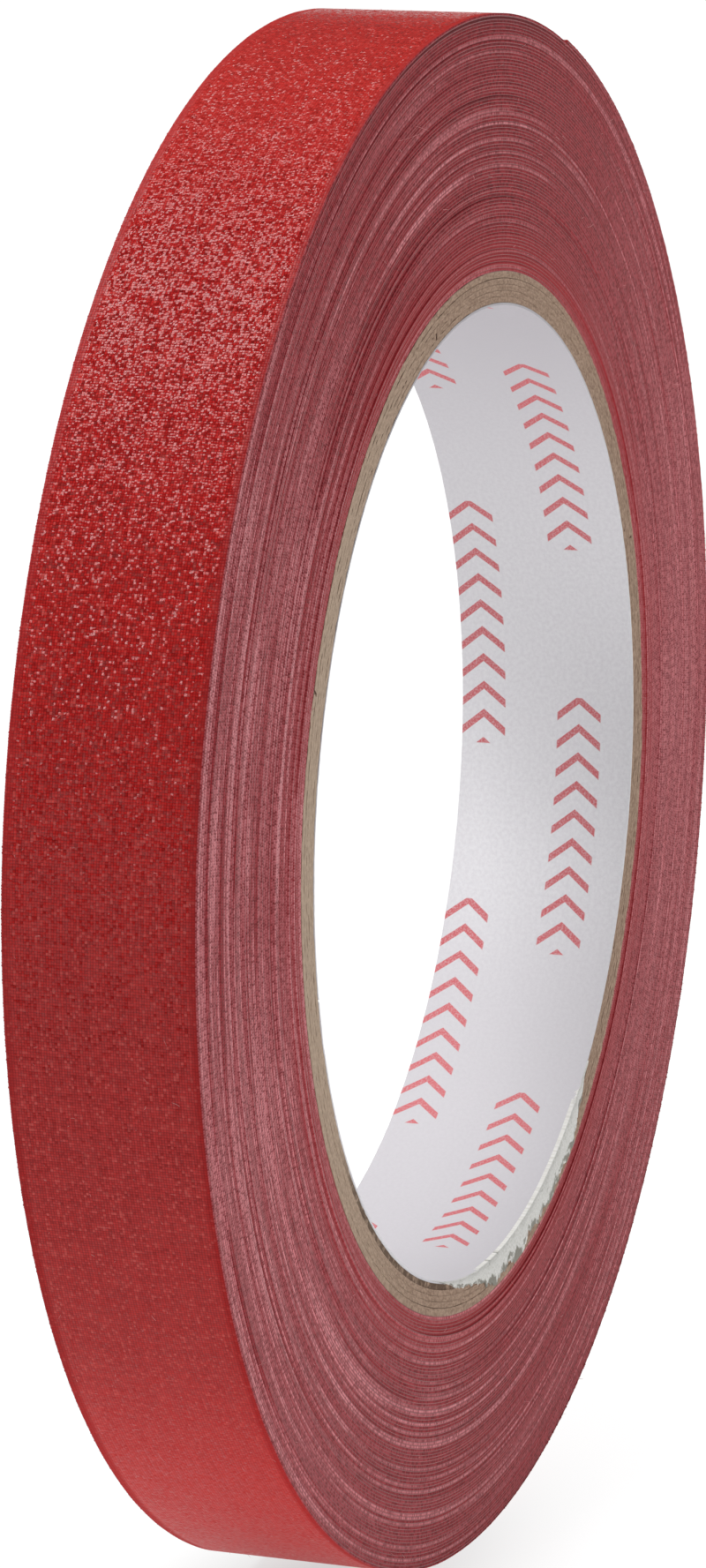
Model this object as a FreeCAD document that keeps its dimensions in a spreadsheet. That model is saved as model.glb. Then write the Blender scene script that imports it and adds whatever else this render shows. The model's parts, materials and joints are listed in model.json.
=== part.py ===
import FreeCAD, Part
import Sketcher
import math
import os

# A roll of cloth electrical tape on a spiral-wound board core, as separate pieces.
#
# The roll stands on its rim with its axis along Y. The front side faces -Y, and the origin is the centre of
# the core's bore. Angles are measured in the XZ plane from +X towards +Z, which is the way the tape is wound
# as it goes outwards. Lengths are in millimetres and angles in degrees.
#
# The core is a printed paper liner with board plies glued round it. Each is wound from a strip, so each has
# a slanting seam. The tape is one strip, a woven cloth with an adhesive layer under it, wound on the core in
# a spiral. The last stretch of the strip is its free end, which peels off the roll as a chain of short
# lengths. The hinge line between two lengths lies in the outer face of the cloth, so a length that is lifted
# moves away from the turn under it.

Vector = FreeCAD.Vector
Rotation = FreeCAD.Rotation

# Driving dimensions: alias, value, what it is.
DIMENSIONS = [
    ("core_bore_diameter", 76.0, "inside diameter of the core"),
    ("core_width", 15.0, "width of the core along its axis"),
    ("liner_thickness", 0.18, "printed paper liner inside the core"),
    ("ply_thickness", 0.45, "one ply of board"),
    ("ply_count", 5, "plies of board outside the liner"),
    ("glue_line", 0.02, "gap that the glue fills outside each layer of the core"),
    ("liner_seam_gap", 0.12, "gap between the edges of the liner"),
    ("ply_seam_gap", 0.3, "gap between the edges of a ply"),
    ("seam_slope", 29.0, "slope of the seams against the circumference"),
    ("liner_seam_angle", 172.0, "where the liner's seam crosses the middle of the core"),
    ("seam_step", 137.5, "turn from one layer's seam to the next"),
    ("tape_width", 14.6, "width of the tape"),
    ("cloth_thickness", 0.17, "woven cloth backing"),
    ("adhesive_thickness", 0.08, "adhesive layer under the cloth"),
    ("adhesive_inset", 0.08, "how far the adhesive stays back from the cloth's edges"),
    ("full_turns", 79, "whole turns of tape on the core"),
    ("free_end_angle", 40.0, "where the free end starts"),
    ("length_sweep", 7.5, "angle from one hinge line of the free end to the next"),
    ("length_count", 4, "lengths in the free end"),
    ("hinge_gap_angle", 0.11, "angle of the gap at a hinge line, half on each side of it"),
    ("lift_clearance", 0.03, "gap between the free end and the turn under it"),
]

PITCH = "(Dimensions.cloth_thickness + Dimensions.adhesive_thickness)"


def make_sheet(doc):
    """The spreadsheet that holds the driving dimensions under their aliases."""
    sheet = doc.addObject("Spreadsheet::Sheet", "Dimensions")
    for row, (alias, value, meaning) in enumerate(DIMENSIONS, start=1):
        sheet.set(f"A{row}", alias)
        sheet.set(f"B{row}", str(value))
        sheet.set(f"C{row}", meaning)
        sheet.setAlias(f"B{row}", alias)
    doc.recompute()
    return sheet


# ---------------------------------------------------------------- core

def layer_radius(layer):
    """Expression for the inner radius of a layer of the core. Layer 0 is the liner."""
    bore = "Dimensions.core_bore_diameter / 2"
    if layer == 0:
        return f"({bore})"
    liner = "Dimensions.liner_thickness + Dimensions.glue_line"
    plies = f"{layer - 1} * (Dimensions.ply_thickness + Dimensions.glue_line)"
    return f"({bore} + {liner} + {plies})"


def ring_body(doc, name, inner_radius, thickness):
    """A body with one ring padded to both sides of the XZ plane. Its two sizes are expressions."""
    body = doc.addObject("PartDesign::Body", name + "_ring")
    sketch = body.newObject("Sketcher::SketchObject", name + "_profile")
    plane = next(feature for feature in body.Origin.OriginFeatures if feature.Role == "XZ_Plane")
    sketch.AttachmentSupport = [(plane, "")]
    sketch.MapMode = "FlatFace"
    for index, radius in enumerate((inner_radius, f"{inner_radius} + {thickness}")):
        first_guess = 40 + index
        sketch.addGeometry(Part.Circle(Vector(0, 0, 0), Vector(0, 0, 1), first_guess))
        sketch.addConstraint(Sketcher.Constraint("Coincident", index, 3, -1, 1))
        constraint = sketch.addConstraint(Sketcher.Constraint("Radius", index, first_guess))
        sketch.setExpression(f"Constraints[{constraint}]", radius)
    pad = body.newObject("PartDesign::Pad", name + "_pad")
    pad.Profile = sketch
    pad.SideType = "Symmetric"
    pad.setExpression("Length", "Dimensions.core_width")
    return body


def seam_slab(doc, sheet, name, gap, angle):
    """The thin slanting slab that parts a layer of the core where its seam is.

    It reaches past both edges of the core, and its height covers every layer on that side of the bore.
    """
    margin = 3.0
    slope = math.radians(sheet.seam_slope)
    bore_radius = sheet.core_bore_diameter / 2
    length = sheet.core_width / math.sin(slope) + 2 * margin
    drop_off = bore_radius * (1 - math.cos(sheet.core_width / math.tan(slope) / 2 / bore_radius))
    bottom = bore_radius - drop_off - margin
    slab = doc.addObject("Part::Box", name + "_seam")
    slab.Length = length
    slab.setExpression("Width", f"Dimensions.{gap}")
    slab.Height = outer_radius_of_core(sheet) + margin - bottom
    turn = Rotation(Vector(0, 1, 0), 90 - angle) * Rotation(Vector(0, 0, 1), sheet.seam_slope)
    corner = Vector(-length / 2, -sheet.get(gap) / 2, bottom)
    slab.Placement = FreeCAD.Placement(turn.multVec(corner), turn)
    return slab


def core_layer(doc, sheet, label, layer):
    """One layer of the core: a ring, parted by its seam."""
    kind = "liner" if layer == 0 else "ply"
    angle = sheet.liner_seam_angle + layer * sheet.seam_step
    part = doc.addObject("Part::Cut", label)
    part.Base = ring_body(doc, label, layer_radius(layer), f"Dimensions.{kind}_thickness")
    part.Tool = seam_slab(doc, sheet, label, f"{kind}_seam_gap", angle)
    part.Label = label
    return part


def outer_radius_of_core(sheet):
    """Radius that the tape is wound on."""
    plies = sheet.ply_count * (sheet.ply_thickness + sheet.glue_line)
    return sheet.core_bore_diameter / 2 + sheet.liner_thickness + sheet.glue_line + plies


# ---------------------------------------------------------------- wound tape

def pitch_of(sheet):
    """Thickness of the strip, which is how far the spiral moves out in a turn."""
    return sheet.cloth_thickness + sheet.adhesive_thickness


def half_turn(sheet, number):
    """Centre and underside radius of one half turn of the strip, counted from the inner end.

    The spiral is made of half circles. The upper ones share one centre and the lower ones another, half a
    pitch apart, so the strip is smooth and every turn lies on the one before it.
    """
    side = -1 if number % 2 == 0 else 1
    quarter = pitch_of(sheet) / 4
    return Vector(side * quarter, 0, 0), outer_radius_of_core(sheet) + quarter + 2 * quarter * number


def arc(centre, radius, first, last):
    """The arc of a circle in the XZ plane between two angles."""
    points = []
    for angle in (first, (first + last) / 2, last):
        turn = math.radians(angle)
        points.append(centre + Vector(radius * math.cos(turn), 0, radius * math.sin(turn)))
    return Part.Arc(*points).toShape()


def spiral(sheet, height, first_number):
    """The arcs of the wound strip at a height above its underside, from a half turn to the free end."""
    last_number = 2 * int(sheet.full_turns)
    edges = []
    for number in range(first_number, last_number):
        centre, radius = half_turn(sheet, number)
        start = 180 * (number % 2)
        edges.append(arc(centre, radius + height, start, start + 180))
    centre, radius = half_turn(sheet, last_number)
    edges.append(arc(centre, radius + height, 0, sheet.free_end_angle - sheet.hinge_gap_angle / 2))
    return edges


def line(start, end):
    """The straight edge between two points."""
    return Part.LineSegment(start, end).toShape()


def adhesive_outline(sheet):
    """Outline of every turn of the adhesive, which is the lower layer of the strip."""
    lower = spiral(sheet, 0, 0)
    upper = spiral(sheet, sheet.adhesive_thickness, 0)
    inner_end = line(lower[0].Vertexes[0].Point, upper[0].Vertexes[0].Point)
    outer_end = line(lower[-1].Vertexes[1].Point, upper[-1].Vertexes[1].Point)
    return Part.Face(Part.Wire([inner_end] + upper + [outer_end] + lower[::-1]))


def wound_outline(sheet):
    """Outline of the whole wound tape: its outermost turn, less the space inside its innermost turn."""
    turns = int(sheet.full_turns)
    outermost = spiral(sheet, pitch_of(sheet), 2 * turns - 2)
    centre, radius = half_turn(sheet, 2 * turns - 2)
    end_angle = sheet.free_end_angle - sheet.hinge_gap_angle / 2
    outermost[0] = arc(centre, radius + pitch_of(sheet), end_angle, 180)
    step = line(outermost[-1].Vertexes[1].Point, outermost[0].Vertexes[0].Point)
    outside = Part.Face(Part.Wire(outermost + [step]))
    innermost = []
    for number in (0, 1):
        centre, radius = half_turn(sheet, number)
        innermost.append(arc(centre, radius, 180 * number, 180 * number + 180))
    step = line(innermost[-1].Vertexes[1].Point, innermost[0].Vertexes[0].Point)
    return outside.cut(Part.Face(Part.Wire(innermost + [step])))


def extrusion(doc, name, outline_shape, width):
    """An outline in the XZ plane made solid, evenly to both sides of it. The width is an expression.

    The outlines have up to some hundreds of arcs, too many for a sketch, so they are plain shapes.
    """
    outline = doc.addObject("Part::Feature", name + "_outline")
    outline.Shape = outline_shape
    solid = doc.addObject("Part::Extrusion", name)
    solid.Base = outline
    solid.DirMode = "Custom"
    solid.Dir = Vector(0, 1, 0)
    solid.Solid = True
    solid.Symmetric = True
    solid.setExpression("LengthFwd", width)
    return solid


def windings(doc, sheet):
    """The two layers of the wound tape.

    The adhesive is a spiral. The cloth is the rest of the wound tape, with its turns joined at both sides by
    the fuzz of cut yarn ends that covers the edges of the adhesive.
    """
    adhesive_width = "Dimensions.tape_width - 2 * Dimensions.adhesive_inset"
    adhesive = extrusion(doc, "adhesive_windings", adhesive_outline(sheet), adhesive_width)
    cloth = doc.addObject("Part::Cut", "cloth_windings")
    cloth.Base = extrusion(doc, "wound_tape", wound_outline(sheet), "Dimensions.tape_width")
    cloth.Tool = adhesive
    cloth.Label = "cloth_windings"
    return [cloth, adhesive]


# ---------------------------------------------------------------- free end

def coaxial_cylinder(doc, sheet, name, height, reach, start):
    """A cylinder on the free end's centre line, whose wall is at a height above the strip's underside.

    It runs from reach to -reach along Y, and its sector opens at the start angle.
    """
    cylinder = doc.addObject("Part::Cylinder", name)
    plies = "Dimensions.ply_count * (Dimensions.ply_thickness + Dimensions.glue_line)"
    turns = f"(Dimensions.full_turns + 0.25) * {PITCH}"
    cylinder.setExpression("Radius", f"{layer_radius(1)} + {plies} + {turns} + {height}")
    cylinder.setExpression("Height", f"2 * ({reach})")
    centre, _ = half_turn(sheet, 2 * int(sheet.full_turns))
    turn = Rotation(Vector(0, -1, 0), start) * Rotation(Vector(1, 0, 0), 90)
    cylinder.Placement = FreeCAD.Placement(centre, turn)
    cylinder.setExpression("Placement.Base.y", reach)
    return cylinder


def end_length(doc, sheet, label, number, low, high, inset):
    """One layer of one length of the free end, lying on the roll. The first length is number 0."""
    start = sheet.free_end_angle + number * sheet.length_sweep + sheet.hinge_gap_angle / 2
    half_width = "Dimensions.tape_width / 2"
    outer = coaxial_cylinder(doc, sheet, label + "_outer", high, f"{half_width} - {inset}", start)
    outer.setExpression("Angle", "Dimensions.length_sweep - Dimensions.hinge_gap_angle")
    part = doc.addObject("Part::Cut", label)
    part.Base = outer
    part.Tool = coaxial_cylinder(doc, sheet, label + "_inner", low, f"{half_width} + 1", start)
    part.Label = label
    return part


# ---------------------------------------------------------------- whole roll

def build(doc):
    """Makes every piece and returns those to export."""
    sheet = make_sheet(doc)
    pieces = []
    pieces.append(core_layer(doc, sheet, "core_liner", 0))
    for layer in range(1, int(sheet.ply_count) + 1):
        pieces.append(core_layer(doc, sheet, f"core_ply_{layer}", layer))
    pieces += windings(doc, sheet)
    lift = "Dimensions.lift_clearance"
    middle = "Dimensions.adhesive_thickness"
    for number in range(int(sheet.length_count)):
        cloth = end_length(doc, sheet, f"cloth_end_{number + 1}", number, middle, PITCH, "0")
        inset = "Dimensions.adhesive_inset"
        adhesive = end_length(doc, sheet, f"adhesive_end_{number + 1}", number, lift, middle, inset)
        pieces += [cloth, adhesive]
    doc.recompute()
    return pieces


def check(doc, pieces):
    """Stops with a message if an object of the document failed or a piece isn't one valid solid."""
    for item in doc.Objects:
        if "Invalid" in item.State or "Error" in item.State:
            raise RuntimeError(f"{item.Name} failed: {item.State}")
    for piece in pieces:
        shape = piece.Shape
        if shape.isNull() or not shape.isValid() or len(shape.Solids) != 1:
            raise RuntimeError(f"{piece.Label} is not one valid solid")


def main():
    doc = FreeCAD.newDocument("tape_roll")
    pieces = build(doc)
    check(doc, pieces)
    os.makedirs("parts", exist_ok=True)
    for piece in pieces:
        piece.Shape.exportStep(f"parts/{piece.Label}.step")


main()
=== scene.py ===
import json
import math

import bpy
import numpy as np
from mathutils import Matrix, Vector


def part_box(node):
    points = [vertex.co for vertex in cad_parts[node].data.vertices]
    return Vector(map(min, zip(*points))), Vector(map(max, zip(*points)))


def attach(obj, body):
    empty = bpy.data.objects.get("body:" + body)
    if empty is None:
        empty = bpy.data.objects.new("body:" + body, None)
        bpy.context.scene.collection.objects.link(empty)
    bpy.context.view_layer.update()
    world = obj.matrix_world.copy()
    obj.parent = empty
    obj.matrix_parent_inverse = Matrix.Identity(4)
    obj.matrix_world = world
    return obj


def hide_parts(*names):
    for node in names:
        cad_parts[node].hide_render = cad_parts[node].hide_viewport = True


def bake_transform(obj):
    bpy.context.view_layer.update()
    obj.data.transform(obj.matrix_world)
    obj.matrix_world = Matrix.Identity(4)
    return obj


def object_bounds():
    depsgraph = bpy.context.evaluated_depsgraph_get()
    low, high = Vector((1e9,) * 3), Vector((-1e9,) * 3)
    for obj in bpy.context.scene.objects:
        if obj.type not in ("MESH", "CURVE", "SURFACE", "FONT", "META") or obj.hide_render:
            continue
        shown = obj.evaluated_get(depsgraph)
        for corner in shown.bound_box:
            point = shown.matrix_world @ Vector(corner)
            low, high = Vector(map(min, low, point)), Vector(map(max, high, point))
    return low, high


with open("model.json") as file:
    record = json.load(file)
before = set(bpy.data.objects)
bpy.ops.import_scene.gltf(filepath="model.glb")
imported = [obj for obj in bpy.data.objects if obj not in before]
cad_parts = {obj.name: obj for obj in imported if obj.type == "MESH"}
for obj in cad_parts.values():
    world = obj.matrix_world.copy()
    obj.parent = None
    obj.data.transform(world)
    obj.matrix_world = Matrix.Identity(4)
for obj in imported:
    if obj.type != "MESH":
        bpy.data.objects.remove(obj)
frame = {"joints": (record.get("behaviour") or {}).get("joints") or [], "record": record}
cad_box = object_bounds()

# A roll of red cloth electrical tape on a board core. The roll's axis is Y, its front side faces -Y, and
# angles on it are measured from +X towards +Z, the way the tape is wound as it goes outwards. Meshes are
# worked out in millimetres and made in metres.
#
# The tape is one strip. A place on it is given by its turn: 3.25 is a quarter of the way through the fourth
# turn from the core. The strip attribute of a piece of tape holds the place along the strip and round its
# section, in millimetres, so that the weave follows the tape when it bends, and how pale its cut edge is. In
# the core, the attribute holds the place round a layer and across it, and the layer's inner radius.

MM = 0.001
TURN = 2 * math.pi


def in_mm(corners):
    """A box's two corners as arrays of millimetres."""
    return [np.array(corner) / MM for corner in corners]


def mount(name):
    """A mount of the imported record."""
    return next(m for m in frame["record"]["mounts"] if m["name"] == name)


# ---------------------------------------------------------------- sizes read from the frame

TURNS = 79
PITCH = 0.25
ADHESIVE = 0.08

BORE_RADIUS = mount("core_bore")["dims"]["r_mm"]
CORE_WIDTH = mount("core_bore")["dims"]["length_mm"]
LINER_OUTSIDE = in_mm(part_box("core_liner"))[1][0]
TAPE_WIDTH = 2 * in_mm(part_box("cloth_windings"))[1][1]
WOUND_RADIUS = in_mm(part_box("cloth_windings"))[1][0] - (TURNS + 1) * PITCH
PEEL_JOINTS = sorted(frame["joints"], key=lambda joint: joint["name"])
HINGES = [np.array(joint["pos_m"]) / MM for joint in PEEL_JOINTS]
HINGE_ANGLES = [math.atan2(hinge[2], hinge[0]) for hinge in HINGES]
LENGTH_SWEEP = HINGE_ANGLES[1] - HINGE_ANGLES[0]
END_ANGLE = HINGE_ANGLES[-1] + LENGTH_SWEEP

# The front edges of the inner turns are almost flush with the core, and the turns lean back as they go out.
INNER_SHIFT = -0.2
OUTER_SHIFT = 0.22

YARN_PITCH = 0.21
# The radius of the strip's underside near its free end. The end bends at it, and angles round the rim use it.
BEND_RADIUS = WOUND_RADIUS + PITCH * TURNS

# Each layer of the core has a slanting seam, a step round from the seam of the layer inside it.
SEAM_SLOPE = math.radians(29)
SEAM_STEP = math.radians(137.5)
LINER_SEAM_ANGLE = math.radians(172)
SEAM_GAP = 0.12
PLIES = 5
PLY_THICKNESS = 0.45

# ---------------------------------------------------------------- random curves and places on the roll


def wander(position, spacing, seed):
    """A smooth random curve with a spread of about 1: a random value each spacing, joined by cubics."""
    position = np.asarray(position, float) / spacing
    values = np.random.default_rng(seed).standard_normal(int(position.max()) + 5)
    before = np.floor(position).astype(int)
    part = position - before
    a, b, c, d = (values[before + step] for step in range(4))
    curve = 2 * a - 5 * b + 4 * c - d + part * (3 * (b - c) + d - a)
    return b + 0.5 * part * (c - a + part * curve)


def smooth_step(value, low, high):
    """0 below low, 1 above high, and a smooth rise between them."""
    part = np.clip((value - low) / (high - low), 0, 1)
    return part * part * (3 - 2 * part)


def polar(radius, across, angle):
    """Points at a radius and an angle round the roll's axis, and at a place across it."""
    return np.stack(np.broadcast_arrays(radius * np.cos(angle), across, radius * np.sin(angle)), axis=-1)


def strip_length(turn):
    """How much of the strip is wound by this turn, in millimetres."""
    return TURN * (WOUND_RADIUS * turn + PITCH * turn**2 / 2)


def strip_shift(turn):
    """How far the strip lies from the middle of the roll, as it drifts and slips while it is wound."""
    lean = INNER_SHIFT + (OUTER_SHIFT - INNER_SHIFT) * turn / TURNS
    drift = 0.030 * wander(turn, 2.6, 11) + 0.009 * wander(turn, 0.4, 12) + 0.004 * wander(turn, 0.05, 13)
    slips = np.clip(wander(turn, 0.55, 14) - 1.0, 0, 1.1)
    return lean + drift - 0.085 * slips


def proud_of_neighbours(turn):
    """How far the front edge of a turn stands out beyond the turns inside and outside it."""
    inside = strip_shift(np.maximum(turn - 1, 0))
    return (inside + strip_shift(turn + 1)) / 2 - strip_shift(turn)


def blotches(radius, angle, radial_step, steps_round, seed):
    """A smooth random field over the roll's side, with a spread of about 1."""
    rows = radius / radial_step
    columns = (angle / TURN % 1) * steps_round
    values = np.random.default_rng(seed).standard_normal((int(rows.max()) + 2, steps_round))
    row, column = np.floor(rows).astype(int), np.floor(columns).astype(int)
    down = smooth_step(rows - row, 0, 1)
    along = smooth_step(columns - column, 0, 1)
    column, after = column % steps_round, (column + 1) % steps_round
    near = values[row, column] * (1 - along) + values[row, after] * along
    far = values[row + 1, column] * (1 - along) + values[row + 1, after] * along
    return 1.3 * (near * (1 - down) + far * down)


def streaks(turn, side):
    """How pale the strip's cut edge is, from 1 where it is palest to -1 where painted shade darkens it most.

    Dust and lint lie in random arcs, groups and lines. Painted light gathers the groups and lines on the
    roll's
    -X side, and makes a turn paler where it stands proud, on the -X and +X sides and at the first turn.
    Painted shade darkens random turns as if sunk between others, the top of the roll, and the last turns at
    the top.
    The side is 1 for the front and -1 for the back.
    """
    angle = TURN * turn
    radius = PITCH * turn
    seed = 61 if side > 0 else 71
    left, right = np.clip(-np.cos(angle), 0, 1) ** 2, np.clip(np.cos(angle), 0, 1) ** 2
    high, low = np.clip(np.sin(angle), 0, 1) ** 2, np.clip(-np.sin(angle), 0, 1) ** 2
    outermost = smooth_step(turn, TURNS - 7, TURNS - 2)
    innermost = 1 - smooth_step(turn, 0.8, 1.8)
    # Painted light: a turn that stands proud of its neighbours is paler.
    proud = smooth_step(side * proud_of_neighbours(turn), 0.030, 0.085)
    # The two numbers given with each kind are its width in millimetres and how many values go round the roll.
    arcs = smooth_step(blotches(radius, angle, PITCH, 7, seed), 0.95 - 0.25 * low, 1.6 - 0.25 * low)
    more_arcs = smooth_step(blotches(radius, angle, PITCH, 6, seed + 4), 0.75, 1.5) * low
    # Painted shade: random turns are darker, as if sunk between their neighbours.
    sunk = smooth_step(-blotches(radius, angle, PITCH, 12, seed + 1), 0.6, 1.9)
    groups = smooth_step(blotches(radius, angle, 0.42, 17, seed + 2) + 0.9 * left, 1.3, 2.6)
    lines = smooth_step(blotches(radius, angle, 0.30, 31, seed + 3), 0.2, 1.4) * (left + 0.25 * right)
    pale = 0.45 * proud + (0.55 * arcs - 0.5 * sunk) * (1 - 0.6 * right) + 0.45 * more_arcs + 0.4 * groups
    # Painted light on the -X and +X sides, and painted shade at the top.
    pale = pale * (1 - 0.1 * high) + 0.75 * lines + 0.40 * right + 0.34 * left - 0.12 * high
    cleaner_near_core = 0.55 + 0.45 * smooth_step(turn, 4, 30)
    # Painted light on the last turns' -X side and on the first turn; painted shade at the last turns' top.
    last_turns = outermost * (0.25 * left - 0.5 * high)
    return np.clip(pale * cleaner_near_core + last_turns + 0.15 * innermost, -1, 1)


# ---------------------------------------------------------------- meshes


def patch(numbers, values, materials=0):
    """Four-sided faces over a grid of point numbers, with the strip values at their corners.

    Rows run the way the strip is wound. Columns run so that the faces look outwards: towards the front on the
    outside, inwards on the front, towards the back on the inside, and outwards on the back.
    """
    def corners(grid):
        return np.stack([grid[:-1, :-1], grid[1:, :-1], grid[1:, 1:], grid[:-1, 1:]], axis=2)

    quads = corners(numbers).reshape(-1, 4)
    kinds = np.broadcast_to(materials, (numbers.shape[0] - 1, numbers.shape[1] - 1)).reshape(-1)
    return quads, corners(values).reshape(-1, 4, 3), kinds


def make_mesh(name, points, patches, materials, caps=(), sharp=50):
    """A smooth-shaded mesh of patches and end caps, from points in millimetres."""
    quads, values, kinds = (np.concatenate(parts) for parts in zip(*patches))
    loops = np.concatenate([quads.reshape(-1), *caps])
    lengths = np.array([4] * len(quads) + [len(cap) for cap in caps])
    starts = np.cumsum(lengths) - lengths
    kinds = np.concatenate([kinds, np.zeros(len(caps), int)])
    values = np.concatenate([values.reshape(-1, 3), np.zeros((len(loops) - quads.size, 3))])

    mesh = bpy.data.meshes.new(name)
    mesh.vertices.add(len(points))
    mesh.vertices.foreach_set("co", (points * MM).astype(np.float32).reshape(-1))
    mesh.loops.add(len(loops))
    mesh.loops.foreach_set("vertex_index", loops.astype(np.int32))
    mesh.polygons.add(len(starts))
    mesh.polygons.foreach_set("loop_start", starts.astype(np.int32))
    mesh.polygons.foreach_set("material_index", kinds.astype(np.int32))
    mesh.update(calc_edges=True)
    strip = mesh.attributes.new("strip", "FLOAT_VECTOR", "CORNER")
    strip.data.foreach_set("vector", values.astype(np.float32).reshape(-1))
    mesh.polygons.foreach_set("use_smooth", np.ones(len(starts), bool))
    mesh.set_sharp_from_angle(angle=math.radians(sharp))
    for material in materials:
        mesh.materials.append(material)
    piece = bpy.data.objects.new(name, mesh)
    bpy.context.scene.collection.objects.link(piece)
    return piece


def closed_sweep(name, points, values, materials, kinds=0):
    """A solid swept along the strip: rows of points, each once round its section, and a cap at each end.

    The values have one column more than the points, because the last column closes on the first.
    """
    rows, columns = points.shape[:2]
    numbers = np.arange(rows * columns).reshape(rows, columns)
    closed = np.hstack([numbers, numbers[:, :1]])
    caps = [numbers[0], numbers[-1][::-1]]
    return make_mesh(name, points.reshape(-1, 3), [patch(closed, values, kinds)], materials, caps)


# ---------------------------------------------------------------- materials


class Surface:
    """A material's node tree, with calls that add one node each and return its output."""

    def __init__(self, name, **settings):
        self.material = bpy.data.materials.new(name)
        self.material.use_nodes = True
        self.tree = self.material.node_tree
        self.shader = self.tree.nodes["Principled BSDF"]
        for socket, value in settings.items():
            self.shader.inputs[socket.replace("_", " ")].default_value = value

    def node(self, kind, inputs=(), **settings):
        """A node with its inputs filled in: each a number, a colour or another node's output."""
        node = self.tree.nodes.new("ShaderNode" + kind)
        for setting, value in settings.items():
            setattr(node, setting, value)
        for place, value in enumerate(inputs):
            if isinstance(value, bpy.types.NodeSocket):
                self.tree.links.new(value, node.inputs[place])
            elif value is not None:
                node.inputs[place].default_value = value
        return node

    def math(self, operation, *values, clamp=False):
        """The result of a sum or a function of numbers."""
        return self.node("Math", values, operation=operation, use_clamp=clamp).outputs[0]

    def attribute(self, name):
        """The three values of a mesh attribute."""
        vector = self.node("Attribute", attribute_name=name).outputs["Vector"]
        return self.node("SeparateXYZ", [vector]).outputs

    def vector(self, x, y, z=0.0):
        """Three numbers as one vector."""
        return self.node("CombineXYZ", [x, y, z]).outputs[0]

    def noise(self, vector, scale, detail=3.0, roughness=0.55):
        """Noise from 0 to 1, with most of it near 0.5."""
        node = self.node("TexNoise", [vector, None, scale, detail, roughness])
        return node.outputs["Fac"]

    def random(self, vector):
        """A random number from 0 to 1 for each vector."""
        return self.node("TexWhiteNoise", [vector]).outputs["Value"]

    def random_vector(self, vector):
        """Three random numbers from 0 to 1 for each vector."""
        return self.node("SeparateXYZ", [self.node("TexWhiteNoise", [vector]).outputs["Color"]]).outputs

    def ramp(self, value, low, high, to_low=0.0, to_high=1.0):
        """The value taken smoothly from one range to another, and held at its ends."""
        node = self.node("MapRange", [value, low, high, to_low, to_high], interpolation_type="SMOOTHSTEP")
        return node.outputs[0]

    def mix(self, share, first, second):
        """Two colours mixed: the first where the share is 0, and the second where it is 1."""
        node = self.node("Mix", data_type="RGBA")
        for socket, value in zip((node.inputs[0], node.inputs[6], node.inputs[7]), (share, first, second)):
            if isinstance(value, bpy.types.NodeSocket):
                self.tree.links.new(value, socket)
            else:
                socket.default_value = value
        return node.outputs[2]

    def finish(self, colour, roughness=None, relief=None, relief_height=0.0):
        """Joins the surface's colour, roughness and relief to its shader. The relief's height is in mm."""
        self.tree.links.new(colour, self.shader.inputs["Base Color"])
        if roughness is not None:
            self.tree.links.new(roughness, self.shader.inputs["Roughness"])
        if relief is not None:
            bump = self.node("Bump", [1.0, relief_height * MM, None, relief])
            self.tree.links.new(bump.outputs[0], self.shader.inputs["Normal"])
        return self.material


def colour(red, green, blue):
    """A colour with its alpha, from the 0 to 255 of a screen."""
    linear = [((c / 255 + 0.055) / 1.055) ** 2.4 for c in (red, green, blue)]
    return (*linear, 1.0)


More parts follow.
